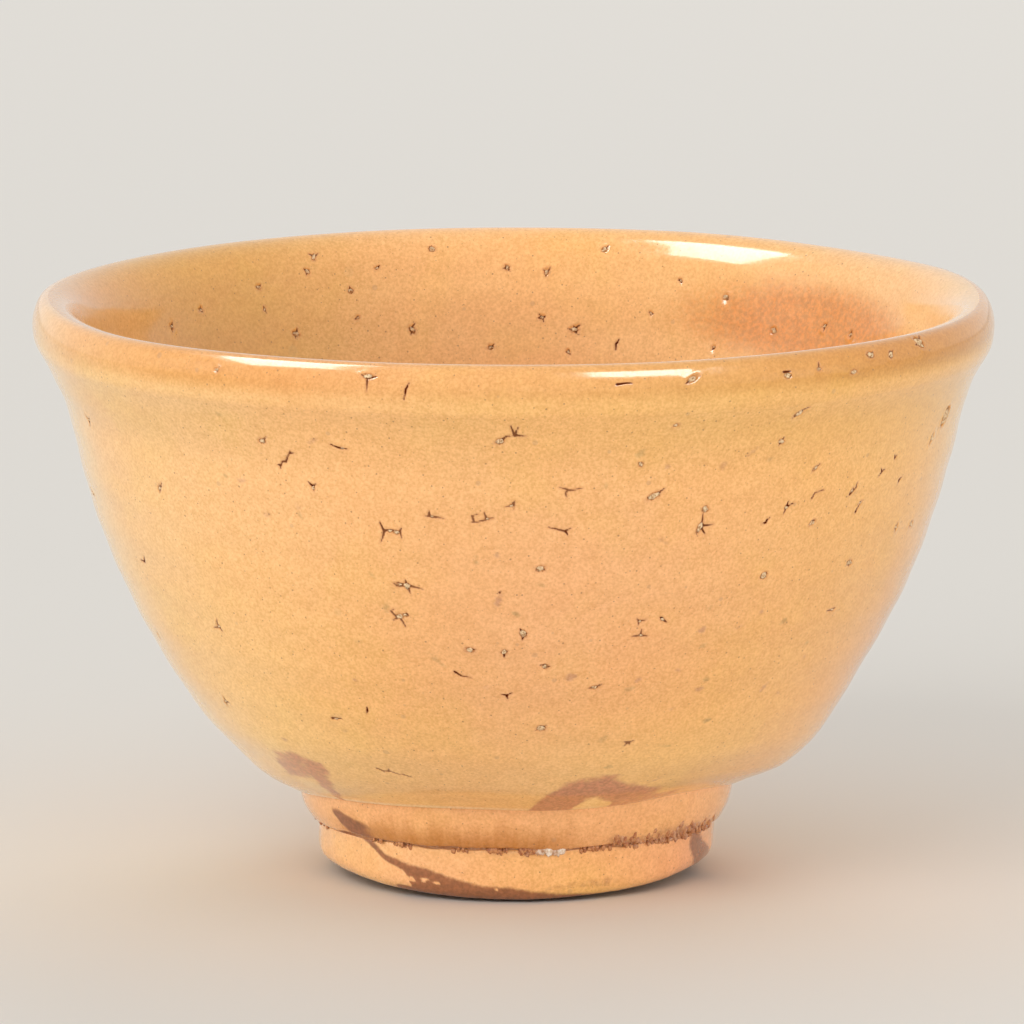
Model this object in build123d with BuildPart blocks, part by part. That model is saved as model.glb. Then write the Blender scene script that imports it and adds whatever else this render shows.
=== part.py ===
"""Matcha bowl: a thrown stoneware cup on a luted foot ring, under poured feldspar glaze.

Frame: millimetres, +Z up, origin at the centre of the foot on the table, front at -Y.
A bearing is measured round the bowl from the front, positive towards +X.
Outlines are (radius, height) over the glaze unless the comment says clay.
"""

import os
from math import cos, radians, sin

from build123d import *

# Driving dimensions
RIM_RADIUS = 62.5  # widest point of the lip
HEIGHT = 76.5  # table to the crest of the lip
CREST = (RIM_RADIUS - 2.03, HEIGHT)
GLAZE = 0.5  # thickness of the coats

# Tangent arcs of the glaze face, each (radius, turn in degrees) or (length, 0) where it runs straight.
# Both chains start at the crest.
OUTWARD = 0
OUTER_BENDS = [(1.5, -61.5), (5.9, -61.5), (25, 21.5), (125, -6), (92, -17), (40, -27)]
INWARD = 180
INNER_BENDS = [(4.2, 58), (10, 16), (27, 0), (50, -34), (30, -31), (90, -9)]

# Foot ring, clay
JOINT_HEIGHT = 11.0  # cup's underside on the top of the foot
COLLAR_TOP = 27.9
FOOT_RADIUS = 25.3
GROUND = (16.8, 19.5)  # inner and outer radius of the face that stands on the table
BEVEL_TOP = (23.9, 1.9)
FOOT_WALL_START = 3.6
RECESS_RADIUS = 15.6
RECESS_HEIGHT = 6.2
NIPPLE_RADIUS = 5.0
NIPPLE_DROP = 1.3

# Bare band round the foot's shoulder, where the glaze crawled apart into beads
CRAWL_BOTTOM = 6.1
CRAWL_TOP = 7.2
CRAWL_TOP_RADIUS = 25.9
BEAD_COUNT = 66
BEAD_RADIUS = 0.34
BEAD_VARIATION = 0.14

# Stones that burst through the glaze on the front: (bearing, height, radius)
FRONT_STONES = [
    (-17.3, 74.0, 0.50),
    (-1.8, 66.0, 0.60),
    (-17.0, 53.6, 0.70),
    (-10.6, 55.8, 0.45),
    (-4.2, 55.6, 0.55),
    (3.4, 48.9, 0.60),
    (-14.6, 46.4, 0.75),
    (-16.2, 42.1, 0.75),
    (1.2, 40.0, 0.60),
    (-1.5, 37.4, 0.50),
    (4.5, 35.4, 0.50),
    (12.4, 32.3, 0.50),
    (4.4, 26.5, 0.60),
    (19.9, 23.9, 0.50),
    (17.8, 41.2, 0.45),
    (18.2, 39.3, 0.45),
    (24.8, 53.8, 0.75),
    (17.8, 58.3, 0.70),
    (36.2, 68.1, 0.60),
    (34.9, 64.3, 0.50),
]
SIDE_AND_BACK_STONES = 24
INNER_STONES = 20
STONE_GAP = 0.02
GOLDEN_ANGLE = 137.508


def wall(heading, bends, depth=0.0):
    """Draw a wall's face from the crest, shifted by a depth to its left; returns its two ends."""
    start = (CREST[0] - depth * sin(radians(heading)), CREST[1] + depth * cos(radians(heading)))
    point = start
    for size, turn in bends:
        along = (cos(radians(heading)), sin(radians(heading)))
        if turn == 0:
            point = Line(point, (point[0] + size * along[0], point[1] + size * along[1])) @ 1
        elif turn > 0:
            point = JernArc(point, along, size - depth, turn) @ 1
        else:
            point = JernArc(point, along, size + depth, turn) @ 1
        point = (point.X, point.Y)
        heading += turn
    return start, point


def seat(heading, bends, bearing, height):
    """A plane on a wall's face at a bearing and height, facing out of the glaze."""
    away = 1 if heading == OUTWARD else -1
    step = 0.05
    out, up = CREST
    for size, turn in bends:
        run = size if turn == 0 else size * radians(abs(turn))
        steps = round(run / step)
        for _ in range(steps):
            heading += turn / steps / 2
            out += run / steps * cos(radians(heading))
            up += run / steps * sin(radians(heading))
            heading += turn / steps / 2
            if up < height:
                across = -away * sin(radians(heading))
                lift = away * cos(radians(heading))
                facing = (across * sin(radians(bearing)), -across * cos(radians(bearing)), lift)
                spot = (out * sin(radians(bearing)), -out * cos(radians(bearing)), up)
                return Plane(origin=Vector(*spot) + Vector(*facing) * STONE_GAP, z_dir=facing)
    raise ValueError(f"no wall at height {height}")


def collar(coat):
    """Rounded collar from the crawl band up to the ledge, over a thickness of glaze."""
    return ThreePointArc(
        (CRAWL_TOP_RADIUS + coat, CRAWL_TOP),
        (CRAWL_TOP_RADIUS + 1.35 + coat, CRAWL_TOP + 1.8),
        (COLLAR_TOP + coat, JOINT_HEIGHT),
    )


def foot_edge(coat):
    """Rounded lower edge of the foot, from its upright wall to the bevel, over a thickness of glaze."""
    return ThreePointArc(
        (FOOT_RADIUS + coat, FOOT_WALL_START),
        (FOOT_RADIUS - 0.4 + coat, FOOT_WALL_START - 1.05),
        (BEVEL_TOP[0] + 0.2 * coat, BEVEL_TOP[1] - 0.5 * coat),
    )


def head(place, radius):
    """A half ball standing on a plane, built into the current part."""
    with Locations(place.location):
        Sphere(radius, arc_size1=0, arc_size2=90, align=(Align.CENTER, Align.CENTER, Align.MIN))


outer_seats = []
for bearing, height, radius in FRONT_STONES:
    outer_seats.append((seat(OUTWARD, OUTER_BENDS, bearing, height), radius))
for i in range(SIDE_AND_BACK_STONES):
    bearing = 58 + 244 * (i + 0.5) / SIDE_AND_BACK_STONES
    height = 20 + 47 * ((i * 0.382) % 1)
    radius = 0.45 + 0.3 * ((i * 0.755) % 1)
    outer_seats.append((seat(OUTWARD, OUTER_BENDS, bearing, height), radius))

inner_seats = []
for i in range(INNER_STONES):
    height = 20 + 49 * (i + 0.5) / INNER_STONES
    radius = 0.4 + 0.25 * ((i * 0.57) % 1)
    inner_seats.append((seat(INWARD, INNER_BENDS, GOLDEN_ANGLE * i, height), radius))

# Clay cup: wall, lip and floor, thrown in one
with BuildPart() as cup:
    with BuildSketch(Plane.XZ):
        with BuildLine():
            top, ledge_clay = wall(OUTWARD, OUTER_BENDS, -GLAZE)
            top, well_clay = wall(INWARD, INNER_BENDS, GLAZE)
            underside = [(0, JOINT_HEIGHT), (COLLAR_TOP, JOINT_HEIGHT), ledge_clay]
            Polyline(well_clay, (0, well_clay[1]), *underside)
        make_face()
    revolve(axis=Axis.Z)

# Clay foot ring with its collar, and the turned recess with a nipple at its centre
with BuildPart() as foot_ring:
    with BuildSketch(Plane.XZ):
        with BuildLine():
            Line((CRAWL_TOP_RADIUS, CRAWL_TOP), (FOOT_RADIUS, CRAWL_BOTTOM))
            Line((FOOT_RADIUS, CRAWL_BOTTOM), (FOOT_RADIUS, FOOT_WALL_START))
            foot_edge(0)
            Polyline(BEVEL_TOP, (GROUND[1], 0), (GROUND[0], 0), (RECESS_RADIUS, 1.2), (RECESS_RADIUS, 4.6))
            ThreePointArc((RECESS_RADIUS, 4.6), (RECESS_RADIUS - 0.5, 5.8), (RECESS_RADIUS - 1.6, RECESS_HEIGHT))
            Line((RECESS_RADIUS - 1.6, RECESS_HEIGHT), (NIPPLE_RADIUS, RECESS_HEIGHT))
            Line((NIPPLE_RADIUS, RECESS_HEIGHT), (0, RECESS_HEIGHT - NIPPLE_DROP))
            Polyline((0, RECESS_HEIGHT - NIPPLE_DROP), (0, JOINT_HEIGHT), (COLLAR_TOP, JOINT_HEIGHT))
            collar(0)
        make_face()
    revolve(axis=Axis.Z)

# Outer coat, from the crest of the lip to the ledge
with BuildPart() as outer_glaze:
    with BuildSketch(Plane.XZ):
        with BuildLine():
            crest, ledge = wall(OUTWARD, OUTER_BENDS)
            crest_clay, ledge_clay = wall(OUTWARD, OUTER_BENDS, -GLAZE)
            Line(crest, crest_clay)
            Line(ledge, ledge_clay)
        make_face()
    revolve(axis=Axis.Z)

# Inner coat, from the crest of the lip to the bottom of the well
with BuildPart() as inner_glaze:
    with BuildSketch(Plane.XZ):
        with BuildLine():
            crest, well = wall(INWARD, INNER_BENDS)
            crest_clay, well_clay = wall(INWARD, INNER_BENDS, GLAZE)
            Line(crest, crest_clay)
            Polyline(well, (0, well[1]), (0, well_clay[1]), well_clay)
        make_face()
    revolve(axis=Axis.Z)

# Coat on the collar, between the ledge and the crawl band
with BuildPart() as collar_glaze:
    with BuildSketch(Plane.XZ):
        with BuildLine():
            back = collar(0)
            face = collar(GLAZE)
            Line(back @ 0, face @ 0)
            Polyline(face @ 1, ledge, ledge_clay, back @ 1)
        make_face()
    revolve(axis=Axis.Z)

# Coat on the foot, between the crawl band and the wiped bevel
with BuildPart() as foot_glaze:
    with BuildSketch(Plane.XZ):
        with BuildLine():
            back = foot_edge(0)
            face = foot_edge(GLAZE)
            Line(back @ 1, face @ 1)
            corner = (FOOT_RADIUS + 0.8 * GLAZE, CRAWL_BOTTOM)
            Polyline(face @ 0, corner, (FOOT_RADIUS, CRAWL_BOTTOM), back @ 0)
        make_face()
    revolve(axis=Axis.Z)

# Beads of glaze drawn up in the crawl band, each standing on the clay
band_radius = (CRAWL_TOP_RADIUS + FOOT_RADIUS) / 2
band_height = (CRAWL_TOP + CRAWL_BOTTOM) / 2
with BuildPart() as crawl_beads:
    for i in range(BEAD_COUNT):
        bearing = radians(360 * i / BEAD_COUNT)
        foot = (band_radius * sin(bearing), -band_radius * cos(bearing), band_height)
        rise = CRAWL_TOP_RADIUS - FOOT_RADIUS
        run = CRAWL_TOP - CRAWL_BOTTOM
        outward = (run * sin(bearing), -run * cos(bearing), -rise)
        radius = BEAD_RADIUS + BEAD_VARIATION * sin(2.4 * i)
        head(Plane(origin=foot, z_dir=outward), radius)

# Heads of the burst stones, standing out of the outer coat
with BuildPart() as outer_stones:
    for place, radius in outer_seats:
        head(place, radius)

# Heads of the burst stones, standing out of the inner coat
with BuildPart() as inner_stones:
    for place, radius in inner_seats:
        head(place, radius)

os.makedirs("parts", exist_ok=True)

cup.part.label = "cup"
export_step(cup.part, "parts/cup.step")

foot_ring.part.label = "foot_ring"
export_step(foot_ring.part, "parts/foot_ring.step")

outer_glaze.part.label = "outer_glaze"
export_step(outer_glaze.part, "parts/outer_glaze.step")

inner_glaze.part.label = "inner_glaze"
export_step(inner_glaze.part, "parts/inner_glaze.step")

collar_glaze.part.label = "collar_glaze"
export_step(collar_glaze.part, "parts/collar_glaze.step")

foot_glaze.part.label = "foot_glaze"
export_step(foot_glaze.part, "parts/foot_glaze.step")

crawl_beads.part.label = "crawl_beads"
export_step(crawl_beads.part, "parts/crawl_beads.step")

outer_stones.part.label = "outer_stones"
export_step(outer_stones.part, "parts/outer_stones.step")

inner_stones.part.label = "inner_stones"
export_step(inner_stones.part, "parts/inner_stones.step")
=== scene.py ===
"""Looks of the matcha bowl: hand-thrown stoneware under a glossy feldspar glaze with burst stones.

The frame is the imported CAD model. Sizes in this script are millimetres until a mesh is written.
A bearing is in degrees round the bowl from the front (-Y), positive towards +X.
"""

import math
import random

import bmesh
import bpy
import numpy as np
from mathutils import Matrix, Vector, noise


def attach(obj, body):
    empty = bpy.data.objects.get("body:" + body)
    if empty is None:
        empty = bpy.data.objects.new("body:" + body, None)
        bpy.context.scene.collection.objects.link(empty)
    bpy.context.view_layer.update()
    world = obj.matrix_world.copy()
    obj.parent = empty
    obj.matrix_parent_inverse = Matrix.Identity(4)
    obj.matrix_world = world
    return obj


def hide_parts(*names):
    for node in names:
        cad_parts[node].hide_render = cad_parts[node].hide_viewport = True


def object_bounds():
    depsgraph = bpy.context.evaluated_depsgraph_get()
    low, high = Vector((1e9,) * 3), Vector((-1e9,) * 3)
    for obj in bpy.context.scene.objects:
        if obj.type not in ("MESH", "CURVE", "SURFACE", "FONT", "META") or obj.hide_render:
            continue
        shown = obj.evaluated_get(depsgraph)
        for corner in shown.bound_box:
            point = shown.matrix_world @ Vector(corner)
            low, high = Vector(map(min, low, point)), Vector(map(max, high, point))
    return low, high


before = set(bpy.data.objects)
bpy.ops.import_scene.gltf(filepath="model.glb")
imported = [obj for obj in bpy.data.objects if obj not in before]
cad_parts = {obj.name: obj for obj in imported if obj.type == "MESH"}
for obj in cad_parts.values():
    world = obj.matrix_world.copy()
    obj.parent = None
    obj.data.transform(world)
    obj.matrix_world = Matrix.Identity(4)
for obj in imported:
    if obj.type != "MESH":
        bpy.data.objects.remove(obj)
cad_low, cad_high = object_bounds()

MM = 0.001
SEAM = 180  # bearing of the meshes' seam, at the back

# ---- outline of the walls

RIM_RADIUS = (cad_high.x - cad_low.x) / 2 / MM
HEIGHT = cad_high.z / MM
CREST = (RIM_RADIUS - 2.03, HEIGHT)  # the highest line of the lip, a little inside its edge
GLAZE = 0.5  # thickness of the coats
JOINT_HEIGHT = 11.0  # where the cup sits on the foot

# Tangent arcs, each (radius, turn in degrees) or (length, 0); both walls start at the crest
OUTER_BENDS = [(1.5, -61.5), (5.9, -61.5), (25, 21.5), (125, -6), (92, -17), (40, -27)]
LEDGE_ROLL = [(0.4, -75), (0.8, 0)]
INNER_BENDS = [(4.2, 58), (10, 16), (27, 0), (50, -34), (30, -31), (90, -9)]
TRACE_STEP = 0.05


class Path:
    """An outline turned round the axis: radius, height and outward normal by the distance run."""

    def __init__(self, points, outward_is_left=True):
        points = np.array(points, float)
        steps = np.hypot(np.diff(points[:, 0]), np.diff(points[:, 1]))
        self.run = np.concatenate([[0], np.cumsum(steps)])
        self.radius, self.height = points.T
        along_r = np.gradient(self.radius, self.run)
        along_z = np.gradient(self.height, self.run)
        size = np.hypot(along_r, along_z)
        side = 1 if outward_is_left else -1
        self.out_r = -side * along_z / size
        self.out_z = side * along_r / size
        self.length = self.run[-1]

    def at(self, run, lift=0.0):
        """Radius and height at a distance run along the path, raised off it by lift."""
        radius = np.interp(run, self.run, self.radius) + lift * np.interp(run, self.run, self.out_r)
        height = np.interp(run, self.run, self.height) + lift * np.interp(run, self.run, self.out_z)
        return radius, height

    def run_at_height(self, height):
        """Distance run at which a path that only falls reaches a height."""
        falling = np.maximum.accumulate(-self.height + 1e-6 * self.run)
        return np.interp(-np.asarray(height, float), falling, self.run)


def traced(start, heading, bends):
    """Points along a chain of tangent arcs and straights."""
    radius, height = start
    points = [(radius, height)]
    for size, turn in bends:
        run = size if turn == 0 else size * math.radians(abs(turn))
        count = max(2, math.ceil(run / TRACE_STEP))
        for _ in range(count):
            heading += turn / count / 2
            radius += run / count * math.cos(math.radians(heading))
            height += run / count * math.sin(math.radians(heading))
            heading += turn / count / 2
            points.append((radius, height))
    return points


outer_path = Path(traced(CREST, 0, OUTER_BENDS + LEDGE_ROLL))
inner_points = traced(CREST, 180, INNER_BENDS)
inner_path = Path(inner_points + [(0.0, inner_points[-1][1])], outward_is_left=False)
LEDGE_RUN = Path(traced(CREST, 0, OUTER_BENDS)).length
LEDGE_RADIUS, LEDGE_HEIGHT = outer_path.at(LEDGE_RUN)


def smooth(x, low, high):
    """0 below low, 1 above high, eased between."""
    x = np.clip((np.asarray(x, float) - low) / (high - low), 0, 1)
    return x * x * (3 - 2 * x)


def around(bearing, centre):
    """Signed degrees from a centre bearing, the short way round."""
    return (np.asarray(bearing, float) - centre + 180) % 360 - 180


def bell(x, centre, width):
    """A soft hump of height 1 over a line."""
    return np.exp(-(((x - centre) / width) ** 2))


def hump(bearing, centre, width):
    """A soft hump of height 1 round the bowl."""
    return bell(around(bearing, centre), 0, width)


def by_bearing(bearing, stops):
    """Smoothed value round the bowl from (bearing, value) stops."""
    total = 0
    for shift in (-8, -4, 0, 4, 8):
        total = total + np.interp(around(bearing, shift), *zip(*stops), period=360)
    return total / 5


def waves(bearing, along, seed, lobes, pitch):
    """Seeded gentle lumps, about -1 to 1, by bearing and distance along the wall."""
    chance = random.Random(seed)
    total = 0
    for _ in range(6):
        lobe = chance.randint(1, lobes)
        drift = chance.uniform(-1, 1) * 360 / pitch
        phase = chance.uniform(0, 360)
        total = total + np.sin(np.radians(lobe * np.asarray(bearing) + drift * np.asarray(along) + phase))
    return total / 2.5


# Hand-thrown unevenness that every piece shares
LEDGE_LIFT = [
    (-120, 0.0), (-88, -0.3), (-60, 0.6), (-30, 1.5), (0, 1.4), (28, 1.5), (48, 2.2), (66, 1.6), (90, 0.4),
    (125, 0.3),
]
RIM_LIFT = [
    (-180, 0.42), (-168, 0.45), (-150, 0.27), (-120, 0.25), (-95, 0.0), (-62, -0.5), (-47, -0.4),
    (-32, -0.5), (-18, -0.68), (0, -0.58), (15, -0.72), (31, -0.6), (46, -0.43), (58, -0.45), (76, -0.55),
    (98, -0.3), (120, -0.1), (140, 0.15), (152, 0.5),
]
# Heights, then how far the wall leans out there
RIGHT_LEAN = ([0, 7, 11, 13, 30, 45, 60, 76.5], [0.3, 0.5, 0.45, 0.3, 0.3, 0.25, 0.3, 0.35])
LEFT_LEAN = ([0, 11, 40, 50, 60, 66, 76.5], [0, 0, 0, 0.25, 0.35, 0.75, 0.75])


def rise(bearing, height, low_share=1.0):
    """How far the hand-made form stands above the turned one."""
    rim = smooth(height, 48, HEIGHT)
    rim_wave = -0.45 * hump(bearing, -55, 26) - 0.45 * hump(bearing, -118, 24)
    rim_wave = rim_wave - 0.2 * hump(bearing, 58, 22) + 0.3 * hump(bearing, 108, 12)
    rim_wave = rim_wave + by_bearing(bearing, RIM_LIFT)
    low = smooth(height, 6.5, 10.5) * (1 - smooth(height, 12.5, 26))
    return rim * rim_wave + low_share * low * by_bearing(bearing, LEDGE_LIFT)


BEVEL = (23.9, 1.9)  # radius and height of the bevel's upper edge, at the bottom of the foot


def foot_drop(bearing, radius, height):
    """How far the lower edge of the foot is turned closer to the table at the front and back."""
    edge = 0.35 + 1.5 * np.sin(np.radians(bearing)) ** 2
    share = np.where(height < BEVEL[1], height / BEVEL[1], 1 - smooth(height, BEVEL[1], 5.6))
    return -(BEVEL[1] - edge) * share * smooth(radius, 18.5, 20.5)


def warp(bearing, radius, height):
    """Moves a turned point to where the uneven hand-made form has it; returns x, y, z."""
    bearing, height = np.asarray(bearing, float), np.asarray(height, float)
    height = height + foot_drop(bearing, radius, height)
    oval = 0.0022 * np.cos(np.radians(2 * bearing - 70)) + 0.0014 * np.cos(np.radians(3 * bearing + 25))
    out = radius * (1 + oval * smooth(height, 10, 60))
    off_axis = smooth(radius, 1, 17)
    out = out + off_axis * 0.10 * waves(bearing, height, 4, 7, 50) * smooth(height, 11, 20)
    angle = np.radians(bearing)
    side = np.sin(angle)
    out = out + off_axis * smooth(side, 0.2, 1) * np.interp(height, *RIGHT_LEAN)
    out = out + off_axis * smooth(-side, 0.2, 1) * np.interp(height, *LEFT_LEAN)
    return out * side, -out * np.cos(angle), height + rise(bearing, height, off_axis)


# ---- bursts in the glaze

# A burst is (bearing, height, its strokes, then its grains). A stroke gives points in mm, right and
# up from the burst's centre, widest at the first; one that gives only its tip starts at the centre.
# A grain is (right, up, half length, half width, tilt in degrees).
FRONT_BURSTS = [
    (-17.3, 74.0, [(0, -0.2, -0.05, -1.6), (-0.8, 0.5), (1.2, 0.3)], (0.1, 0.3, 0.7, 0.35, 0)),
    (-12.6, 72.6, [(0, 0.3, 0.35, 1.1), (0, 0.3, -0.1, -0.2, -0.3, -1.1)]),
    (-1.8, 66.0, [(0.3, 0.25, 0.9, 0.8, 1.9, 0.9), (1.9, 0.9, 3.4, 0.85), (1.9, 0.9, 1.4, 2.6),
     (1.9, 0.9, 2.4, 2.3)], (0, 0, 0.6, 0.42, 20)),
    (-21.9, 64.5, [(0.2, -0.15, 1.1, -0.2), (0.2, -0.15, -0.6, 0.1, -1.3, 0.45)],
     (0.3, -0.12, 0.35, 0.12, -10)),
    (-29.9, 61.9, [(0.1, 0.1, 0.5, 0.9, 0.9, 1.4, 1.1, 1.9), (0.9, 1.4, 1.6, 1.5),
     (0.1, 0.1, -0.4, 0.1, -0.7, -0.4, -0.9, -1.0), (-0.7, -0.4, -1.2, -0.5)]),
    (-26.3, 59.0, [(-0.6, 0.6), (0.5, 0.4), (0.1, -0.7)], (0.05, -0.2, 0.22, 0.3, 0)),
    (6.9, 59.4, [(0, 0, -0.6, 0.25, -1.3, 0.4), (0, 0, 0.8, 0.1, 1.7, 0.3),
     (-0.3, -0.1, -0.5, -0.5, -0.3, -1.0)]),
    (-17.0, 53.6, [(0, 0, -0.2, 0.5, -0.5, 1.3), (0, 0, -0.2, -0.7, -0.6, -1.6),
     (0, 0.1, 1.0, 0.2, 2.1, 0.1), (2.1, 0.1, 2.3, 0.6), (2.1, 0, 2.25, -0.8)],
     (0.75, 0.1, 0.42, 0.2, 5), (1.6, -0.05, 0.42, 0.26, -8)),
    (-10.6, 55.8, [(-0.9, 0.1), (1.6, -0.2), (-0.3, 0.1, -0.3, 0.8)], (0, 0, 0.22, 0.14, 0)),
    (-4.2, 55.6, [(0.6, 0.1, 0.35, 0.95), (0.6, 0, 1.5, 0.15), (0.5, -0.15, -0.4, -0.4, -1.3, -0.5),
     (-1.0, -0.3, -1.2, 0.4, -0.4, 0.7)], (0.8, 0, 0.3, 0.2, 0)),
    (-0.4, 57.4, [(-0.7, -0.1), (0.1, 0, 0.35, 0.55, 0.3, -0.5)], (0.05, 0, 0.3, 0.2, 20)),
    (6.3, 53.9, [(0.2, 0, -0.8, 0.3, -1.9, 0.6), (0.2, 0, 1.0, 0.5), (0.3, 0, 0.6, -0.6)]),
    (3.4, 48.9, [(0, 0.1, -0.6, -0.3), (0, 0.1, 0.7, -0.3)], (0, 0, 0.6, 0.42, 10)),
    (-14.6, 46.4, [(0.4, 0, 1.1, -0.15, 2.1, -0.4), (0.2, -0.3, 0.4, -1.1),
     (-0.3, 0.1, -1.0, 0.35, -1.7, 0.3), (-0.3, 0, -1.1, -0.15, -1.6, 0.2), (0, 0.3, -0.1, 0.8)],
     (0.05, 0, 0.52, 0.42, -20), (-0.9, 0.1, 0.4, 0.16, 0)),
    (-16.2, 42.1, [(0.1, -0.2, 0.5, -0.9, 0.7, -1.5), (0.6, 0.3, 1.3, 0.2, 1.0, 0.6),
     (-0.4, 0, -1.0, 0.7, -0.5, 1.1), (-0.3, -0.3, -0.8, -0.6)], (0.1, 0, 0.55, 0.34, 15),
     (0.85, 0.2, 0.3, 0.2, 0)),
    (-2.2, 44.8, [(0.2, 1.0, 0.3, 1.25)]),
    (1.2, 40.0, [(0, 0.2, -0.4, 0.8), (0.6, 0.2), (0, -0.3, -0.1, -0.9)], (0, 0.1, 0.42, 0.6, 20)),
    (-6.4, 37.8, [(0.8, 0.1)], (0, 0, 0.55, 0.34, -15)),
    (-1.5, 37.4, [(0, 0.1, 0.5, 0.4), (0.0, -0.8)], (0, 0.1, 0.38, 0.42, 0)),
    (-7.9, 34.2, [(-0.9, 0.5, 0, -0.2, 1.2, -0.4)]),
    (4.5, 35.4, [(0, 0.3, -0.6, 0.2), (0, -0.2, 0.6, 0)], (0, 0, 0.42, 0.34, 0)),
    (12.4, 32.3, [(0.8, 0.5), (-0.8, -0.1)], (-0.1, 0, 0.5, 0.3, 10)),
    (-1.2, 31.3, [(0.7, 0.5), (-0.7, 0.2), (0.1, -0.6)]),
    (4.4, 26.5, [(0.6, 0.5), (-0.7, -0.3)], (0, 0, 0.6, 0.45, 0)),
    (19.9, 23.9, [(0, 0.1, 0.7, 0.4), (0, 0.1, -0.6, 0.3), (-0.1, 0, -0.3, -0.6), (0.1, 0.1, 0.3, -0.4),
     (-0.2, 0.1, 0.4, 0.2)]),
    (17.8, 41.2, [(0.9, 0.3), (-0.5, 0.5), (-0.2, -0.6)], (0.05, 0, 0.2, 0.16, 0)),
    (18.2, 39.3, [(1.0, -0.15), (-1.1, -0.1), (0.05, 0.9)], (0, 0, 0.32, 0.18, 0)),
    (21.2, 41.3, [(0, 0.1, -0.4, 0.4), (0.6, -0.4)], (0, 0, 0.3, 0.2, -30)),
    (24.8, 53.8, [(0, 0, 0.1, 0.9, 0.05, 1.8), (0.2, 0.1, 0.9, 0.05, 1.8, 0.15), (0.1, -0.2, 0.7, -1.2),
     (-0.1, -0.2, -0.5, -1.1)], (0.3, 2.4, 0.5, 0.45, 60), (-0.15, -0.15, 0.75, 0.35, 65)),
    (17.8, 58.3, [(0.7, 0.4, 1.4, 1.0), (-0.7, -0.2, 0, -0.4)], (0, 0, 0.95, 0.42, 28)),
    (15.8, 62.6, [(-0.4, 0.3)], (0, 0, 0.3, 0.34, 0)),
    (34.6, 53.4, [(-0.6, -0.1), (0.6, 0.7), (0.1, 0, 0.2, 0.5)]),
    (37.6, 55.2, [(0.2, 0.8), (1.2, 0.5), (-0.2, -0.9)], (0, 0, 0.22, 0.3, 0)),
    (42.4, 56.3, [(-0.6, -0.4, -0.2, 0.4, 1.4, 0.6)]), (42.8, 52.6, [(0.5, 0.4)], (0, 0, 0.5, 0.28, 40)),
    (34.9, 64.3, [(0.3, 0.6), (-0.3, -0.6)], (0, 0, 0.36, 0.5, 70)),
    (36.2, 68.1, [(0.3, 0.3, 1.3, 0.9), (-0.3, -0.3, -0.7, -0.9)], (0, 0, 0.75, 0.32, 35)),
    (33.5, 73.3, [(-0.5, 0.5, 0.5, 0.5)], (0, 0, 0.4, 0.55, 90)),
    (20.9, 73.7, [(-0.8, -0.5)], (0.2, 0.1, 0.8, 0.34, 30)),
    (19.6, 67.7, [(-0.4, -0.3)], (0, 0, 0.34, 0.22, 30)),
    (36.0, 46.2, [(0.5, 0.5)], (0, 0, 0.55, 0.42, 30)), (52.9, 46.0, [(0.1, -0.5)], (0, 0, 0.5, 0.36, 0)),
    (52.4, 39.7, [(-1.1, 0), (0.5, 0.2)], (0, 0, 0.3, 0.2, 0)),
    (49.6, 56.4, [(-0.6, -0.8, 0.4, 0, 0.5, 0.8)], (-0.3, -0.3, 0.4, 0.2, 45)),
    (51.6, 53.9, [(-0.4, -1.0, 0.3, 0.3)], (0.2, 0.3, 0.3, 0.2, 40)),
    (57.8, 59.3, [(0.5, 0.4), (-0.1, 0.5)]), (55.2, 57.9, [(0.7, 0.3), (-0.7, -0.6), (-0.3, 0.5)]),
    (71.4, 62.8, [(0, -0.4, -0.8, -1.4), (0.3, 0.5, 0.6, 1.3)], (0.1, 0.2, 1.5, 1.0, 70)),
    (68.2, 60.6, [(0, 0.2, 0.3, 0.9), (0, -0.2, -0.6, -1.0)], (0, 0, 0.5, 0.3, 60)),
    (-24.4, 18.9, [(-2.0, 0.8, -1.2, 0.1, -0.3, 0.2, 0.9, -0.5), (1.2, -0.4, 2.3, -1.0),
     (-0.6, 0.1, -0.3, 0.9)]),
    (-24.2, 28.5, [(0.1, 0.6), (-0.2, -0.4)]),
    (-30.6, 26.8, [(-0.6, 0.1, 0.9, 0.2)], (0, 0, 0.3, 0.14, 0)),
    (-32.6, 64.6, [(0.8, 0.7)], (0, 0, 0.5, 0.38, 0)), (12.8, 73.6, [(-1.0, -0.1, 0.3, 0.05, 0.9, 0.0)]),
    (41.5, 60.0, [(0.7, 0.5)], (0, 0, 0.5, 0.22, 35)),
    (56.4, 75.0, [(0.3, 0.3, 0.9, 0.9), (-0.3, -0.2, -1.0, -0.3)], (0, 0, 1.0, 0.55, -50)),
    (46.7, 74.6, [(0.6, 0.3)], (-0.1, 0, 0.65, 0.4, 0)), (50.2, 74.2, [(0.6, 0.5)], (0, 0, 0.5, 0.4, 60)),
    (38.1, 73.7, [(0, 0.2, 0.1, 0.8)], (0, 0, 0.3, 0.25, 0)), (43.4, 72.8, [], (0, 0, 0.5, 0.28, 10)),
    (-37.1, 73.7, [], (0, 0, 0.3, 0.28, 0)), (60.2, 56.2, [(-0.3, -0.6), (0.5, 0.3)]),
    (68.0, 49.2, [], (0, 0, 0.45, 0.4, 0)), (62.9, 49.5, [(0.2, 0.6), (0.1, -0.7)], (0, 0, 0.3, 0.25, 0)),
]
BACK_BURSTS = 34
LEFT_BURSTS = 8

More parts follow.
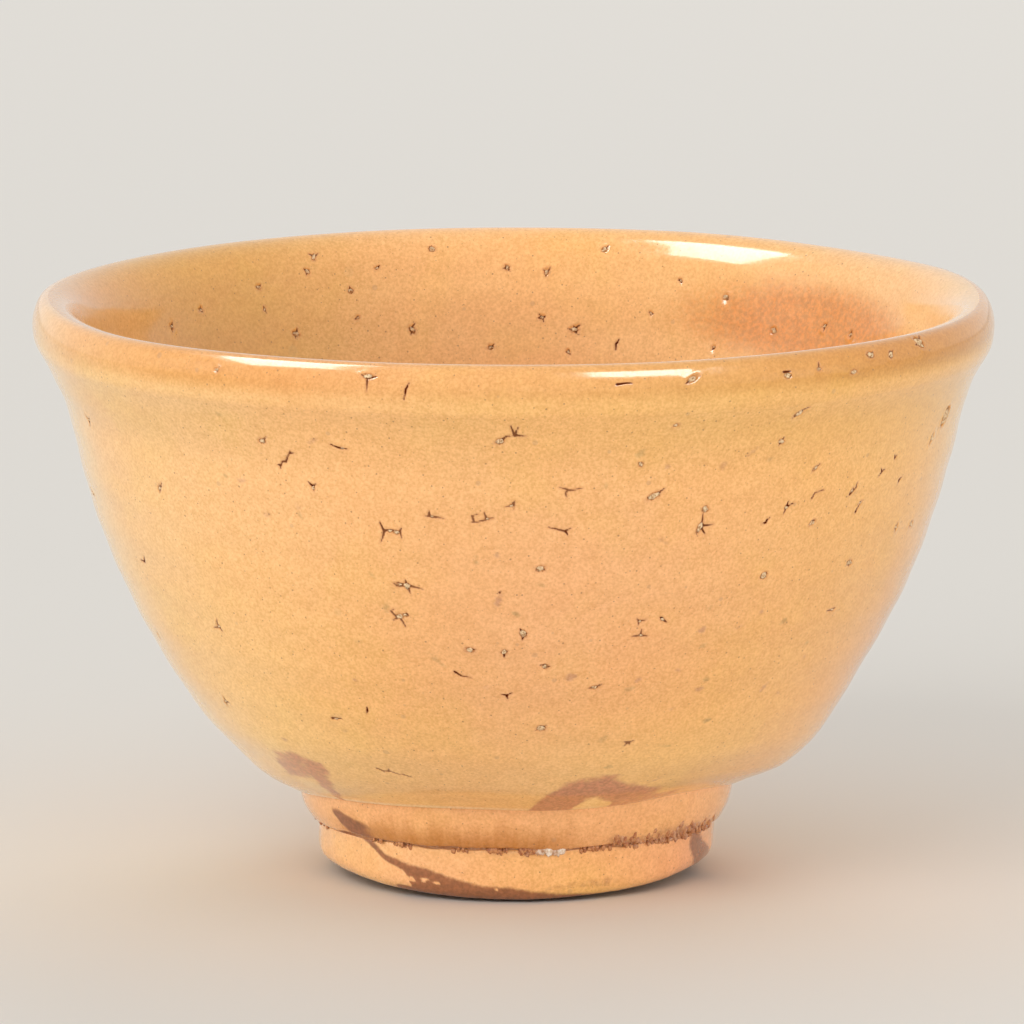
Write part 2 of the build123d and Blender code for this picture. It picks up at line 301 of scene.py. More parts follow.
# Faint marks under the glaze: (bearing, height, half length, half width, tilt, tone). The tone is
# how strong the mark is: mauve above zero, olive below.
SMUDGES = [
    (-39.7, 59.1, 0.35, 0.3, 0, -0.5), (-39.2, 60.6, 0.5, 0.25, 80, -0.3),
    (-38.0, 67.6, 0.8, 0.3, -50, -0.35), (-37.1, 58.8, 0.8, 0.4, 10, 0.45),
    (-34.0, 54.6, 0.6, 0.5, 0, 0.3), (-28.9, 56.1, 0.5, 0.4, 0, 0.3), (-28.7, 54.9, 0.4, 0.5, 0, -0.4),
    (-25.4, 65.1, 0.7, 0.4, 30, 0.35), (-45.6, 22.4, 0.5, 0.4, 0, 0.5), (-29.9, 25.2, 0.5, 0.3, 0, 0.4),
    (-24.8, 32.9, 0.35, 0.3, 0, 0.55), (-22.9, 38.3, 0.6, 0.3, 0, -0.25),
    (-19.3, 47.5, 0.55, 0.25, -40, -0.4), (-17.9, 43.2, 0.7, 0.45, 60, -0.5),
    (-11.4, 36.2, 1.3, 0.35, -45, -0.35), (-6.6, 37.9, 0.8, 0.5, 10, 0.35),
    (-5.1, 50.0, 0.5, 0.3, 80, -0.5), (-4.2, 32.5, 0.45, 0.3, 0, 0.35),
    (-2.2, 50.5, 0.45, 0.25, -40, 0.5), (-2.2, 44.6, 0.95, 0.45, 70, 0.65),
    (0.2, 42.8, 0.5, 0.45, 0, -0.65), (3.7, 46.7, 0.5, 0.35, 0, -0.35), (8.5, 33.9, 0.85, 0.6, 15, 0.65),
    (11.5, 59.9, 0.3, 0.5, 0, -0.3), (15.2, 24.6, 0.8, 0.5, 80, -0.35), (15.6, 64.1, 0.8, 0.5, 40, -0.5),
    (17.9, 20.2, 0.6, 0.4, 0, -0.55), (17.9, 31.8, 0.8, 0.4, 20, -0.45), (19.0, 33.1, 0.6, 0.35, 45, 0.6),
    (19.3, 62.1, 0.4, 0.35, 0, 0.5), (19.7, 52.2, 0.6, 0.25, -30, 0.5), (25.3, 34.0, 0.4, 0.25, 0, 0.5),
    (25.9, 28.6, 0.35, 0.2, 0, 0.45), (27.0, 61.7, 0.7, 0.5, 60, 0.35), (27.5, 23.0, 0.8, 0.25, 0, -0.35),
    (27.8, 39.4, 0.5, 0.5, 0, 0.65), (28.3, 42.4, 0.4, 0.3, 0, -0.35), (28.5, 37.2, 0.5, 0.4, 0, -0.35),
    (30.1, 31.0, 0.7, 0.4, 10, 0.6), (30.4, 17.3, 0.7, 0.2, 35, 0.6), (30.8, 32.3, 0.45, 0.4, 0, -0.6),
    (30.8, 63.2, 0.9, 0.3, 40, 0.35), (33.7, 26.3, 0.6, 0.35, 0, -0.7), (33.7, 62.0, 0.5, 0.3, 20, -0.3),
    (34.0, 39.3, 0.55, 0.2, 10, 0.5), (37.3, 41.0, 0.3, 0.3, 0, 0.6), (42.1, 39.4, 0.5, 0.4, 20, -0.55),
    (43.3, 29.9, 0.8, 0.4, 60, 0.5), (47.4, 28.9, 0.4, 0.3, 40, 0.4), (49.1, 35.7, 0.5, 0.3, 40, -0.45),
    (49.9, 33.5, 0.3, 0.3, 0, 0.5), (110, 52, 0.8, 0.4, 30, 0.5), (142, 38, 0.6, 0.5, 0, -0.5),
    (170, 60, 0.7, 0.4, 60, 0.5), (-165, 30, 0.8, 0.4, 20, -0.5), (-150, 55, 0.6, 0.4, 0, 0.5),
    (-118, 40, 0.7, 0.5, 45, 0.5), (-96, 58, 0.6, 0.4, 0, -0.5),
]

# Bursts seen through the mouth, on the far inner wall: (bearing, height, size)
PALE_MARKS = [
    (-168.6, 74.6, 0.9), (167.5, 74.6, 0.8), (-156.4, 69.6, 0.8), (148.6, 69.2, 0.9), (139.6, 65.5, 1.0),
    (149.5, 62.6, 0.5),
]
DARK_MARKS = [
    (-160.6, 72.4, 0.6), (-165.0, 64.1, 1.1), (-179.0, 72.0, 0.7), (175.5, 71.5, 0.9), (171.2, 64.0, 1.1),
    (-151.6, 74.3, 0.9), (-150.2, 72.5, 0.9), (-142.1, 71.0, 0.8), (-147.0, 64.5, 1.1),
    (-176.5, 61.5, 0.8), (-157.0, 66.0, 0.6), (176.0, 65.5, 0.7), (172.0, 61.0, 0.6), (156.0, 71.0, 0.5),
    (130.0, 67.0, 0.7), (124.0, 66.5, 0.8), (-131.0, 69.0, 0.7), (-124.0, 67.5, 0.8), (160.0, 66.5, 0.5),
]
INNER_EXTRA = 26


def random_burst(chance, size, spread=1.0):
    """Strokes and grains of one burst of a given size; spread shortens the strokes."""
    strokes, grains = [], []
    kind = chance.random()
    turn = chance.uniform(0, 360)
    if kind < 0.7:
        grains.append((0, 0, size * chance.uniform(0.3, 0.6), size * chance.uniform(0.2, 0.4), turn))
    rays = chance.choice([2, 3, 3, 4]) if kind < 0.85 else 2
    for i in range(rays):
        angle = math.radians(turn + 360 * i / rays + chance.uniform(-35, 35))
        reach = spread * size * chance.uniform(0.7, 1.7)
        swerve = angle + chance.uniform(-0.6, 0.6)
        x, y = 0.5 * reach * math.cos(angle), 0.5 * reach * math.sin(angle)
        tip = (x + 0.5 * reach * math.cos(swerve), y + 0.5 * reach * math.sin(swerve))
        strokes.append([(0, 0), (x, y), tip])
    return strokes, grains


def stroke_points(numbers):
    """Points of a stroke, from the centre of the burst when only its tip is given."""
    points = list(zip(numbers[::2], numbers[1::2]))
    return points if len(points) > 1 else [(0, 0)] + points


def off_the_seam(bearing, step):
    """Moves a burst off the seam at the back."""
    return bearing + step if abs(around(bearing, SEAM)) < 4 else bearing


def all_outer_bursts():
    chance = random.Random(11)
    bursts = []
    for bearing, height, strokes, *grains in FRONT_BURSTS:
        bursts.append((bearing, height, [stroke_points(s) for s in strokes], grains))
    for i in range(BACK_BURSTS):
        bearing = off_the_seam(84 + 188 * (i + chance.uniform(0.1, 0.9)) / BACK_BURSTS, 8)
        strokes, grains = random_burst(chance, chance.uniform(0.7, 1.4))
        bursts.append((bearing, 18 + 54 * ((i * 0.618 + chance.uniform(0, 0.1)) % 1), strokes, grains))
    for i in range(LEFT_BURSTS):
        strokes, grains = random_burst(chance, chance.uniform(0.6, 1.0))
        bursts.append((-84 + 5.2 * i + chance.uniform(-2, 2), 22 + 48 * ((i * 0.618) % 1), strokes, grains))
    return bursts


def all_inner_bursts():
    chance = random.Random(23)
    bursts = []
    for bearing, height, size in PALE_MARKS:
        strokes = random_burst(chance, size, 0.55)[0]
        bursts.append((bearing, height, strokes[:1], [(0, 0, 0.5 * size, 0.45 * size, 0)]))
    for bearing, height, size in DARK_MARKS:
        strokes = random_burst(chance, size, 0.55)[0]
        bursts.append((bearing, height, strokes, [(0, 0, 0.5 * size, 0.32 * size, chance.uniform(0, 180))]))
    for i in range(INNER_EXTRA):
        strokes, grains = random_burst(chance, chance.uniform(0.6, 1.2), 0.6)
        bearing = off_the_seam((137.5 * i + 20) % 360, 9)
        bursts.append((bearing, 19 + 50 * (i + 0.5) / INNER_EXTRA, strokes, grains))
    return bursts


STROKE_BASE = 0.105  # half width of a stroke where it starts
STROKE_TIP = 0.022
FAR = 1.0  # distance given to points with no crack or grain near them
BURST_REACH = 4.2  # no burst is longer than this


def stroke_distance(x, y, points, strength):
    """Distance in mm from points to the edge of a tapering stroke, negative inside it."""
    points = [np.array(p, float) for p in points]
    lengths = [np.linalg.norm(b - a) for a, b in zip(points, points[1:])]
    total, done = sum(lengths), 0.0
    best = np.full(x.shape, FAR)
    for a, b, length in zip(points, points[1:], lengths):
        along = np.clip(((x - a[0]) * (b[0] - a[0]) + (y - a[1]) * (b[1] - a[1])) / length**2, 0, 1)
        gap = np.hypot(x - a[0] - along * (b[0] - a[0]), y - a[1] - along * (b[1] - a[1]))
        taper = (done + along * length) / total
        half = strength * (STROKE_BASE * (1 - taper) + STROKE_TIP * taper)
        best = np.minimum(best, gap - half)
        done += length
    return best


def burst_fields(bearing, run, path, bursts):
    """Distance to the nearest crack and to the nearest grain, for points on a wall."""
    crack = np.full(bearing.shape, FAR)
    grain = np.full(bearing.shape, FAR)
    radius = path.at(run)[0]
    for index, (centre, height, strokes, grains) in enumerate(bursts):
        centre_run = float(path.run_at_height(height - float(rise(centre, height))))
        x = around(bearing, centre) * np.pi / 180 * radius
        y = centre_run - run
        near = np.flatnonzero((np.abs(x) < BURST_REACH) & (np.abs(y) < BURST_REACH))
        if not len(near):
            continue
        x, y = x[near], y[near]
        strength = 0.85 + 0.4 * ((index * 0.37) % 1)
        for points in strokes:
            crack[near] = np.minimum(crack[near], stroke_distance(x, y, points, strength))
        for gx, gy, half_long, half_wide, tilt in grains:
            c, s = math.cos(math.radians(tilt)), math.sin(math.radians(tilt))
            u = ((x - gx) * c + (y - gy) * s) / half_long
            v = (-(x - gx) * s + (y - gy) * c) / half_wide
            grain[near] = np.minimum(grain[near], (np.hypot(u, v) - 1) * half_wide)
    return crack, grain


# ---- skins: fine meshes turned from a path

FINE_CUTS = 3  # cuts across a cell of the grid that holds part of a burst or mark
FINE_MARGIN = 0.55  # cells this close to one are cut too


def param_grid(columns, rows, cells):
    """A flat grid over (bearing, run), refined in the given cells; returns it as a bmesh."""
    bearings = np.linspace(SEAM - 360, SEAM, columns + 1)
    u, t = np.meshgrid(bearings, rows)
    points = np.stack([u.ravel(), t.ravel(), np.zeros(u.size)], 1)
    i, j = np.meshgrid(np.arange(columns), np.arange(len(rows) - 1))
    corner = (j * (columns + 1) + i).ravel()
    quads = np.stack([corner, corner + 1, corner + columns + 2, corner + columns + 1], 1)
    flat = bpy.data.meshes.new("flat")
    flat.from_pydata(points.tolist(), [], quads.tolist())
    bm = bmesh.new()
    bm.from_mesh(flat)
    bpy.data.meshes.remove(flat)
    if len(cells):
        bm.faces.ensure_lookup_table()
        edges = set()
        for cell in cells:
            edges.update(bm.faces[cell].edges)
        bmesh.ops.subdivide_edges(bm, edges=list(edges), cuts=FINE_CUTS, use_grid_fill=True)
    return bm


def cells_near(path, columns, rows, bursts):
    """Numbers of the grid cells that hold part of a burst or are close to one."""
    bearings = SEAM - 360 + 360 * (np.arange(columns) + 0.5) / columns
    middles = (rows[1:] + rows[:-1]) / 2
    u, t = np.meshgrid(bearings, middles)
    crack, grain = burst_fields(u.ravel(), t.ravel(), path, bursts)
    return np.flatnonzero(np.minimum(crack, grain) < FINE_MARGIN)


def skin(name, path, columns, rows, relief, bursts=(), marks=()):
    """A smooth mesh over a whole path, lifted off it by relief; fine near the bursts and the marks."""
    rows = np.asarray(rows, float)
    cells = cells_near(path, columns, rows, list(bursts) + list(marks)) if bursts else []
    bm = param_grid(columns, rows, cells)
    flat = np.array([v.co[:2] for v in bm.verts])
    bearing, run = flat[:, 0], flat[:, 1]
    crack, grain = burst_fields(bearing, run, path, bursts) if bursts else (None, None)
    lift = relief(bearing, run, crack, grain)
    radius, height = path.at(run, lift)
    x, y, z = warp(bearing, radius, height)
    mark_u = bm.verts.layers.float.new("bearing")
    mark_t = bm.verts.layers.float.new("run")
    for vertex, px, py, pz, u, t in zip(bm.verts, x * MM, y * MM, z * MM, bearing, run):
        vertex.co = (px, py, pz)
        vertex[mark_u] = u
        vertex[mark_t] = t
    edge = [v for v in bm.verts if abs(v[mark_u] - SEAM) < 0.01 or abs(v[mark_u] - SEAM + 360) < 0.01]
    pole = [v for v in bm.verts if math.hypot(v.co.x, v.co.y) < 1e-6]
    bmesh.ops.remove_doubles(bm, verts=list(set(edge + pole)), dist=2e-7)
    bmesh.ops.recalc_face_normals(bm, faces=bm.faces)
    for face in bm.faces:
        face.smooth = True
    mesh = bpy.data.meshes.new(name)
    bm.to_mesh(mesh)
    bm.free()
    return add(name, mesh)


def add(name, data):
    """A new object in the scene."""
    obj = bpy.data.objects.new(name, data)
    bpy.context.scene.collection.objects.link(obj)
    return obj


def read(mesh, name):
    values = np.zeros(len(mesh.vertices), np.float32)
    mesh.attributes[name].data.foreach_get("value", values)
    return values.astype(float)


def paint(mesh, name, values):
    layer = mesh.attributes.new(name, "FLOAT", "POINT")
    layer.data.foreach_set("value", np.asarray(values, np.float32))


def paint_tint(mesh, tint):
    layer = mesh.attributes.new("tint", "FLOAT_COLOR", "POINT")
    data = np.ones((len(mesh.vertices), 4), np.float32)
    data[:, :3] = tint
    layer.data.foreach_set("color", data.ravel())


def spot(vertex):
    """The vertex's place to the nearest 0.005 mm, to find the vertices that two skins share."""
    return tuple(round(c / MM * 200) for c in vertex.co)


def unite(*skins):
    """Gives skins that meet along the crest the same normals there, so that no line shows."""
    shared = {}
    for obj in skins:
        for vertex in obj.data.vertices:
            off_crest = abs(math.hypot(vertex.co.x, vertex.co.y) / MM - CREST[0])
            if off_crest < 0.6 and vertex.co.z / MM > HEIGHT - 1.5:
                shared.setdefault(spot(vertex), []).append(vertex.normal.copy())
    for obj in skins:
        normals = []
        for vertex in obj.data.vertices:
            found = shared.get(spot(vertex), [])
            total = sum(found, Vector()) if len(found) > 1 else vertex.normal
            normals.append(total.normalized())
        obj.data.normals_split_custom_set_from_vertices(normals)


# ---- relief

CRACK_DEPTH = 0.13
PIT_DEPTH = 0.10
HEAVE = 0.05  # height of the lip of glaze round a burst


def burst_relief(crack, grain):
    """Open cracks, shallow pits round the stones and the slight heave of the glaze beside them."""
    cut = CRACK_DEPTH * (1 - smooth(crack, -0.04, 0.08))
    pit = PIT_DEPTH * (1 - smooth(grain, -0.05, 0.12))
    nearest = np.minimum(crack, grain)
    heave = HEAVE * bell(nearest, 0.28, 0.22) * (grain < FAR)
    return heave - np.maximum(cut, pit)


def outer_relief(bearing, run, crack, grain):
    height = outer_path.at(run)[1]
    fade = smooth(run, 0.5, 9)
    ring = np.sin(2 * np.pi * (height / 6.3 + bearing / 360) + 0.7 * waves(bearing, run, 8, 4, 40))
    fine = np.sin(2 * np.pi * (height / 1.7 + 2 * bearing / 360))
    groove = -0.06 * bell(height, 72.6, 0.5) * (0.5 + 0.5 * waves(bearing, run * 0, 3, 3, 90))
    lump = 0.13 * waves(bearing, run, 5, 9, 30)
    belly = np.where(height < 15.5, (15.5 - height) / 2.7, (height - 15.5) / 7.5)
    lump = lump + 1.6 * hump(bearing, 90, 38) * np.exp(-(belly**2))
    lump = lump + 0.45 * hump(bearing, -90, 30) * bell(height, 13.5, 2.2)
    thrown = fade * (0.045 * ring + 0.010 * fine + lump)
    return thrown + groove * smooth(run, 0.5, 3) + burst_relief(crack, grain)


def inner_relief(bearing, run, crack, grain):
    fade = smooth(run, 0.5, 9) * (1 - smooth(run, inner_path.length - 12, inner_path.length - 3))
    ring = np.sin(2 * np.pi * (run / 7.1 - bearing / 360) + 0.6 * waves(bearing, run, 18, 4, 40))
    lump = 0.13 * waves(bearing, run, 15, 8, 30)
    return fade * (0.06 * ring + lump) + burst_relief(crack, grain)


# ---- the two main coats

COLUMNS = 448
outer_rows = np.concatenate(
    [
        np.arange(0, 8, 0.36),
        np.arange(8, LEDGE_RUN - 2.2, 0.9),
        np.arange(LEDGE_RUN - 2.2, outer_path.length, 0.14),
        [outer_path.length],
    ]
)
inner_rows = np.concatenate(
    [
        np.arange(0, 7, 0.36),
        np.arange(7, inner_path.length - 4, 0.95),
        np.linspace(inner_path.length - 4, inner_path.length, 5),
    ]
)
outer_bursts = all_outer_bursts()
inner_bursts = all_inner_bursts()
smudge_marks = [(mark[0], mark[1], [], [(0, 0, *mark[2:5])]) for mark in SMUDGES]
outer_zone = (outer_path, COLUMNS, outer_rows, outer_relief)
outer_skin = skin("glaze_outside", *outer_zone, outer_bursts, smudge_marks)
inner_skin = skin("glaze_inside", inner_path, COLUMNS, inner_rows, inner_relief, inner_bursts)

# ---- clay cup behind the coats

inner_runs = np.linspace(inner_path.length - 0.3, 0, 44)
outer_runs = np.linspace(0, LEDGE_RUN, 44)
cup_points = [(0.0, inner_points[-1][1] - GLAZE)]
cup_points += list(zip(*inner_path.at(inner_runs, -GLAZE)))
cup_points += list(zip(*outer_path.at(outer_runs, -GLAZE)))[1:]
cup_points += [(LEDGE_RADIUS - 1.0, JOINT_HEIGHT), (0.0, JOINT_HEIGHT)]
cup_path = Path(cup_points)


def no_relief(bearing, run, crack, grain):
    return np.zeros(bearing.shape)


clay_cup = skin("clay_cup", cup_path, 128, cup_path.run, no_relief)

# ---- foot

SHOULDER = (25.3, 6.1)  # radius and height, under the crawl band
BAND_TOP = (25.9, 7.2)
GROUND = (16.8, 19.5)  # inner and outer radius of the flat that stands on the table
RECESS = (15.6, 6.2)  # radius and height


def bend(through, end, count):
    """A parabola-like bend from where a chain has got to, through a point to an end."""

    def points(start):
        for i in range(1, count + 1):
            t = i / count
            weights = ((1 - t) * (1 - 2 * t), 4 * t * (1 - t), t * (2 * t - 1))
            yield tuple(sum(w * p[axis] for w, p in zip(weights, (start, through, end))) for axis in (0, 1))

    return points


def straight(end, step):
    """A straight from where a chain has got to, in steps of about the given length."""

    def points(start):
        count = max(1, round(math.dist(start, end) / step))
        for i in range(1, count + 1):
            yield tuple(a + (b - a) * i / count for a, b in zip(start, end))

    return points


def chain(start, *parts):
    """Points of an outline made of bends and straights, end to end."""
    points = [start]
    for part in parts:
        points += list(part(points[-1]))
    return points


foot_points = chain(
    (0.0, 4.9),
    bend((2.2, 5.2), (5.0, 6.1), 8),
    straight((13.8, RECESS[1]), 0.6),
    bend((15.2, 5.6), (RECESS[0], 4.2), 6),
    straight((RECESS[0] + 0.1, 1.4), 0.4),
    bend((16.0, 0.5), (GROUND[0], 0.0), 6),
    straight((GROUND[1], 0.0), 0.5),
    straight(BEVEL, 0.5),
    bend((24.9, 2.6), (25.3, 3.7), 6),
    straight(SHOULDER, 0.25),
    straight(BAND_TOP, 0.12),
    bend((27.2, 9.0), (27.9, JOINT_HEIGHT), 20),
)
foot_points += [(26.0, JOINT_HEIGHT), (12.0, JOINT_HEIGHT), (0.0, JOINT_HEIGHT)]
foot_path = Path(foot_points, outward_is_left=False)


def foot_relief(bearing, run, crack, grain):
    height = foot_path.at(run)[1]
    lump = 0.05 * waves(bearing, run, 31, 12, 9) + 0.03 * waves(bearing, run, 32, 30, 4)
    return lump * smooth(height, 0.0, 0.8) * (1 - smooth(height, 10.2, 10.9))


foot_clay = skin("foot_clay", foot_path, 384, foot_path.run, foot_relief)

under_ledge = (LEDGE_RADIUS - 0.55, LEDGE_HEIGHT + 0.45)
collar_bends = bend((27.75, 9.1), (26.38, 7.25), 40), bend((26.2, 7.0), (25.75, 6.9), 6)
collar_path = Path(chain(under_ledge, *collar_bends))

BARE_SINK = 0.75  # how far a coat's mesh goes below the clay where the clay is bare
# Height of the glaze's lower edge on the collar, by bearing
EDGE_LINE = [(-180, 7.0), (-60, 7.0), (-45, 7.05), (4, 7.0), (45, 6.95), (70, 6.9), (140, 7.0)]


def ragged(bearing, seed, size):
    """A ragged line round the bowl, about -size to size."""
    chance = random.Random(seed)
    total = 0
    for lobe in (7, 13, 19, 31, 47, 71, 97):
        total = total + np.sin(np.radians(lobe * bearing + chance.uniform(0, 360))) * (20 / (20 + lobe))
    return size * total / 2.5


def collar_relief(bearing, run, crack, grain):
    above = collar_path.at(run)[1] - (by_bearing(bearing, EDGE_LINE) + ragged(bearing, 41, 0.22))
    roll = 0.08 * bell(above, 0.45, 0.35)
    lump = 0.05 * waves(bearing, run, 42, 12, 6)
    return -BARE_SINK * (1 - smooth(above, -0.15, 0.35)) + roll + lump * smooth(run, 0.4, 1.5)


collar_skin = skin("glaze_collar", collar_path, 640, collar_path.run, collar_relief)

skirt_points = chain(
    (25.2, 7.25),
    bend((25.6, 7.15), (25.83, 6.8), 8),
    straight((25.72, 3.7), 0.16),
    bend((25.25, 2.45), (24.0, 1.65), 12),
    straight((22.6, 1.2), 0.2),
)
skirt_path = Path(skirt_points)


def skirt_relief(bearing, run, crack, grain):
    radius, height = skirt_path.at(run)
    top_edge = 6.90 + ragged(bearing, 51, 0.24)
    wiped_edge = 23.2 + ragged(bearing, 52, 0.35)
    cover = (1 - smooth(height - top_edge, 0.05, 0.4)) * smooth(radius - wiped_edge, -0.3, 0.2)
    lump = 0.07 * waves(bearing, run, 53, 14, 7) + 0.02 * waves(bearing, run, 54, 40, 3)
    facet = -0.25 * hump(bearing, 70, 9) * smooth(height, 2, 3) * (1 - smooth(height, 5, 6.5))
    return -BARE_SINK * (1 - cover) + lump + facet


skirt_skin = skin("glaze_foot", skirt_path, 640, skirt_path.run, skirt_relief)

# ---- colour zones, as seen from each point


def begin(obj, path, bursts=()):
    """Paints where a skin's bursts are; returns its mesh and its points' bearing, run and turned height."""
    mesh = obj.data
    bearing, run = read(mesh, "bearing"), read(mesh, "run")
    crack, grain = burst_fields(bearing, run, path, bursts)
    paint(mesh, "crack", crack)
    paint(mesh, "grain", grain)
    return mesh, bearing, run, path.at(run)[1]


def tinted(*shades):
    """Sum of shades, each (how much of it there is at each point, its red, green and blue)."""
    return sum(np.multiply.outer(share, colour) for share, colour in shades)


def pale_patches(bearing, seen):
    """How much of the pale patches shows at each point."""
    pale = np.zeros(len(bearing))
    for centre, middle, half_wide, half_high in PALE_PATCHES:
        reach = np.hypot(around(bearing, centre) / half_wide, (seen - middle) / half_high)
        pale = np.maximum(pale, 1 - smooth(reach, 0.3, 1.1))
    return pale


def smudged(tint, bearing, run):
    """The tint with the faint marks under the glaze in it."""
    uneven = 0.12 * waves(bearing * 30, run * 30, 64, 9, 20)
    for mark, smudge in zip(smudge_marks, SMUDGES):
        distance = burst_fields(bearing, run, outer_path, [mark])[1]
        depth = abs(smudge[5]) * (1 - smooth(distance + uneven, -0.30, 0.16))
        tone = MAUVE_MARK if smudge[5] > 0 else OLIVE_MARK
        tint = tint + depth[:, None] * (tone - tint)
    return tint


def crescents(bearing, seen):
    """How strongly the mauve crescents stain each point."""
    edge = 0.35 * waves(bearing * 6, seen * 6, 63, 9, 9)
    stain = np.zeros(len(bearing))
    for top, bottom, fading in CRESCENTS:
        upper = np.interp(bearing, *zip(*top)) + edge
        lower = np.interp(bearing, *zip(*bottom)) + edge
        shape = smooth(upper - seen, -0.5, 1.3) * smooth(seen - lower, -0.5, 0.8)
        stain = np.maximum(stain, shape * np.interp(bearing, *fading))
    return stain


def outside_colour(obj):
    mesh, bearing, run, height = begin(obj, outer_path, outer_bursts)
    side = np.sin(np.radians(bearing))
    right, left = smooth(side, 0.0, 0.85), smooth(-side, 0.25, 0.95)
    far_right, far_left = smooth(side, 0.93, 1.0), smooth(-side, 0.90, 1.0)
    lip = smooth(height, 70.9, 73.3)
    lip_right, lip_left = hump(bearing, 62, 34), hump(bearing, -42, 20)
    # Painted light: a band under the lip brightened, against the shading of the wall's curve there
    painted_light_under_lip = bell(height, 69.8, 2.2)
    neck = bell(height, 68, 5.5) * (0.35 + 0.65 * smooth(np.abs(around(bearing, -8)), 10, 34))
    neck = neck * (1 - 0.7 * far_left - 0.6 * far_right)
    right_belly = right * bell(height, 38, 16)
    cloud = waves(bearing, height, 62, 5, 60)
    # Painted highlight: the far left and right edges made paler, where the glaze mirrors the bright room
    painted_edge_highlight = (far_left + 0.8 * far_right) * bell(height, 64, 9)
    # Painted light: the lower wall over the ledge brightened, against the shade where it turns to face down
    low_wall = smooth(run, LEDGE_RUN - 27, LEDGE_RUN - 10)
    painted_light_over_ledge = 0.75 * low_wall + 0.25 * smooth(run, LEDGE_RUN - 6, LEDGE_RUN - 0.5)
    painted_light_over_ledge = painted_light_over_ledge * (1 - 0.4 * hump(bearing, 52, 20))
    # Painted highlight: a thin pale line along the ledge's edge, strongest on the left, where the edge
    # catches the light
    painted_ledge_highlight = smooth(run, LEDGE_RUN - 1.15, LEDGE_RUN - 0.6) * (0.25 + 0.75 * smooth(-bearing, -10, 20))
    seen = height + rise(bearing, height)
    tint = tinted(
        (1, (0.895, 0.497, 0.195)),
        (lip, (-0.07, -0.08, -0.04)),
        (lip * lip_right, (-0.16, -0.11, -0.06)),
        (lip * lip_left, (-0.06, -0.08, -0.07)),
        (painted_light_under_lip, (0.045, 0.028, 0.014)),
        (bell(height, 72.6, 1.3), (-0.02, 0, 0)),
        (neck, (-0.07, -0.03, -0.03)),
        (painted_edge_highlight, (0, 0.055, 0.035)),
        (cloud, (0, 0.014, -0.01)),
        # Painted light: the left side paler, and its far edge lighter still, as lit from the left
        (left, (0, 0.045, 0.035)),
        (far_left, (0.03, 0.06, 0.04)),
        (right, (0, -0.012, -0.03)),
        (right_belly, (-0.05, -0.03, 0)),
        (painted_light_over_ledge, (0.095, 0.14, 0.068)),
        (painted_ledge_highlight, (0, 0.12, 0.22)),
        (pale_patches(bearing, seen), (0.06, 0.09, 0.07)),
    )
    paint_tint(mesh, smudged(tint, bearing, run))
    paint(mesh, "stain", crescents(bearing, seen))


# Mauve crescents over the ledge: upper edge, lower edge (bearing, height), and how strong by bearing
CRESCENTS = [
    (
        [(2, 10), (4.4, 14.1), (7.3, 16.3), (9.9, 18), (13.6, 18.9), (17.5, 19.1), (23, 18.3), (30, 16.8),
         (40, 15.2), (50, 14.4), (54, 10)],
        [(2, 8), (13.6, 8), (14.6, 13.2), (16.4, 14.4), (19.5, 14.8), (22.8, 14.1), (24.6, 13), (25.4, 8),
         (60, 8)],
        ([2, 28, 48, 54], [1, 0.85, 0.6, 0]),
    ),
    (
        [(-60, 14), (-57.5, 17.3), (-52, 20.1), (-47, 21), (-43.4, 20.7), (-40.5, 19.8), (-39.3, 18.4),
         (-38.6, 12)],
        [(-60, 15.5), (-57, 15.2), (-52.5, 15.7), (-48.5, 16.2), (-46.5, 14.6), (-45, 14.8), (-41.2, 16.9),
         (-39.5, 18.4), (-38, 20)],
        ([-62, -56, -40, -36], [0, 0.8, 0.8, 0]),
    ),
    (
        [(-53, 11), (-51.5, 13.4), (-48.5, 16), (-46, 17.2), (-40, 17.2)],
        [(-53, 12.5), (-50.5, 11.6), (-49, 12.4), (-46, 14.3), (-40, 15)],
        ([-53, -51.5, -46.5, -45], [0, 0.8, 0.8, 0]),
    ),
]
MAUVE_MARK = (0.50, 0.24, 0.14)
OLIVE_MARK = (0.42, 0.27, 0.10)
# Pale patches under the crescents, and the russet blush inside: (bearing, height, half width, half height)
PALE_PATCHES = [(18.7, 14.2, 5.6, 2.2), (-51.5, 14.2, 6.5, 1.7)]
BLUSH = (132, 66.6, 28, 6.8)


def inside_colour(obj):
    mesh, bearing, run, height = begin(obj, inner_path, inner_bursts)
    side = np.sin(np.radians(bearing))
    left, some_right, right = smooth(-side, -0.1, 0.8), smooth(side, 0.05, 0.45), smooth(side, 0.5, 0.95)
    lip = smooth(height, 71.5, 75)
    deep = 1 - smooth(height, 20, 66)
    cloud = waves(bearing, height, 72, 5, 60)
    behind = hump(bearing, -163, 16)
    tint = tinted(
        (1, (0.945, 0.54, 0.2)),
        (behind, (0.045, 0.03, 0.03)),
        (lip, (0, -0.02, -0.01)),
        (deep, (-0.02, -0.03, -0.02)),
        # Painted shade: the left inner wall darker, as it faces away from the light from the left
        (left, (-0.23, -0.155, -0.075)),
        (some_right, (-0.03, 0, 0)),
        # Painted light: the right inner wall paler, as it faces the light from the left
        (right, (0, 0.04, 0.045)),
        (cloud, (0, 0.016, -0.01)),
    )
    paint_tint(mesh, tint)
    centre, middle, half_wide, half_high = BLUSH
    shape = 1 - np.hypot(around(bearing, centre) / half_wide, (height - middle) / half_high)
    paint(mesh, "stain", 0.75 * smooth(shape, -0.35, 0.6))


# Dark line that runs down the collar's left end: heights by bearing
COLLAR_LINE = [
    (-59, 10.6), (-57, 9.9), (-55.5, 9.2), (-53, 8.6), (-49, 8.1), (-44, 7.75), (-38, 7.4), (60, 7.1),
]
# Rust along the collar's lower edge: bearings, then how strong it is there
RUST_RUNS = ([15, 24, 30, 36, 46, 60, 70, 84], [0, 0.3, 0.55, 0.45, 0.62, 0.6, 0.5, 0])


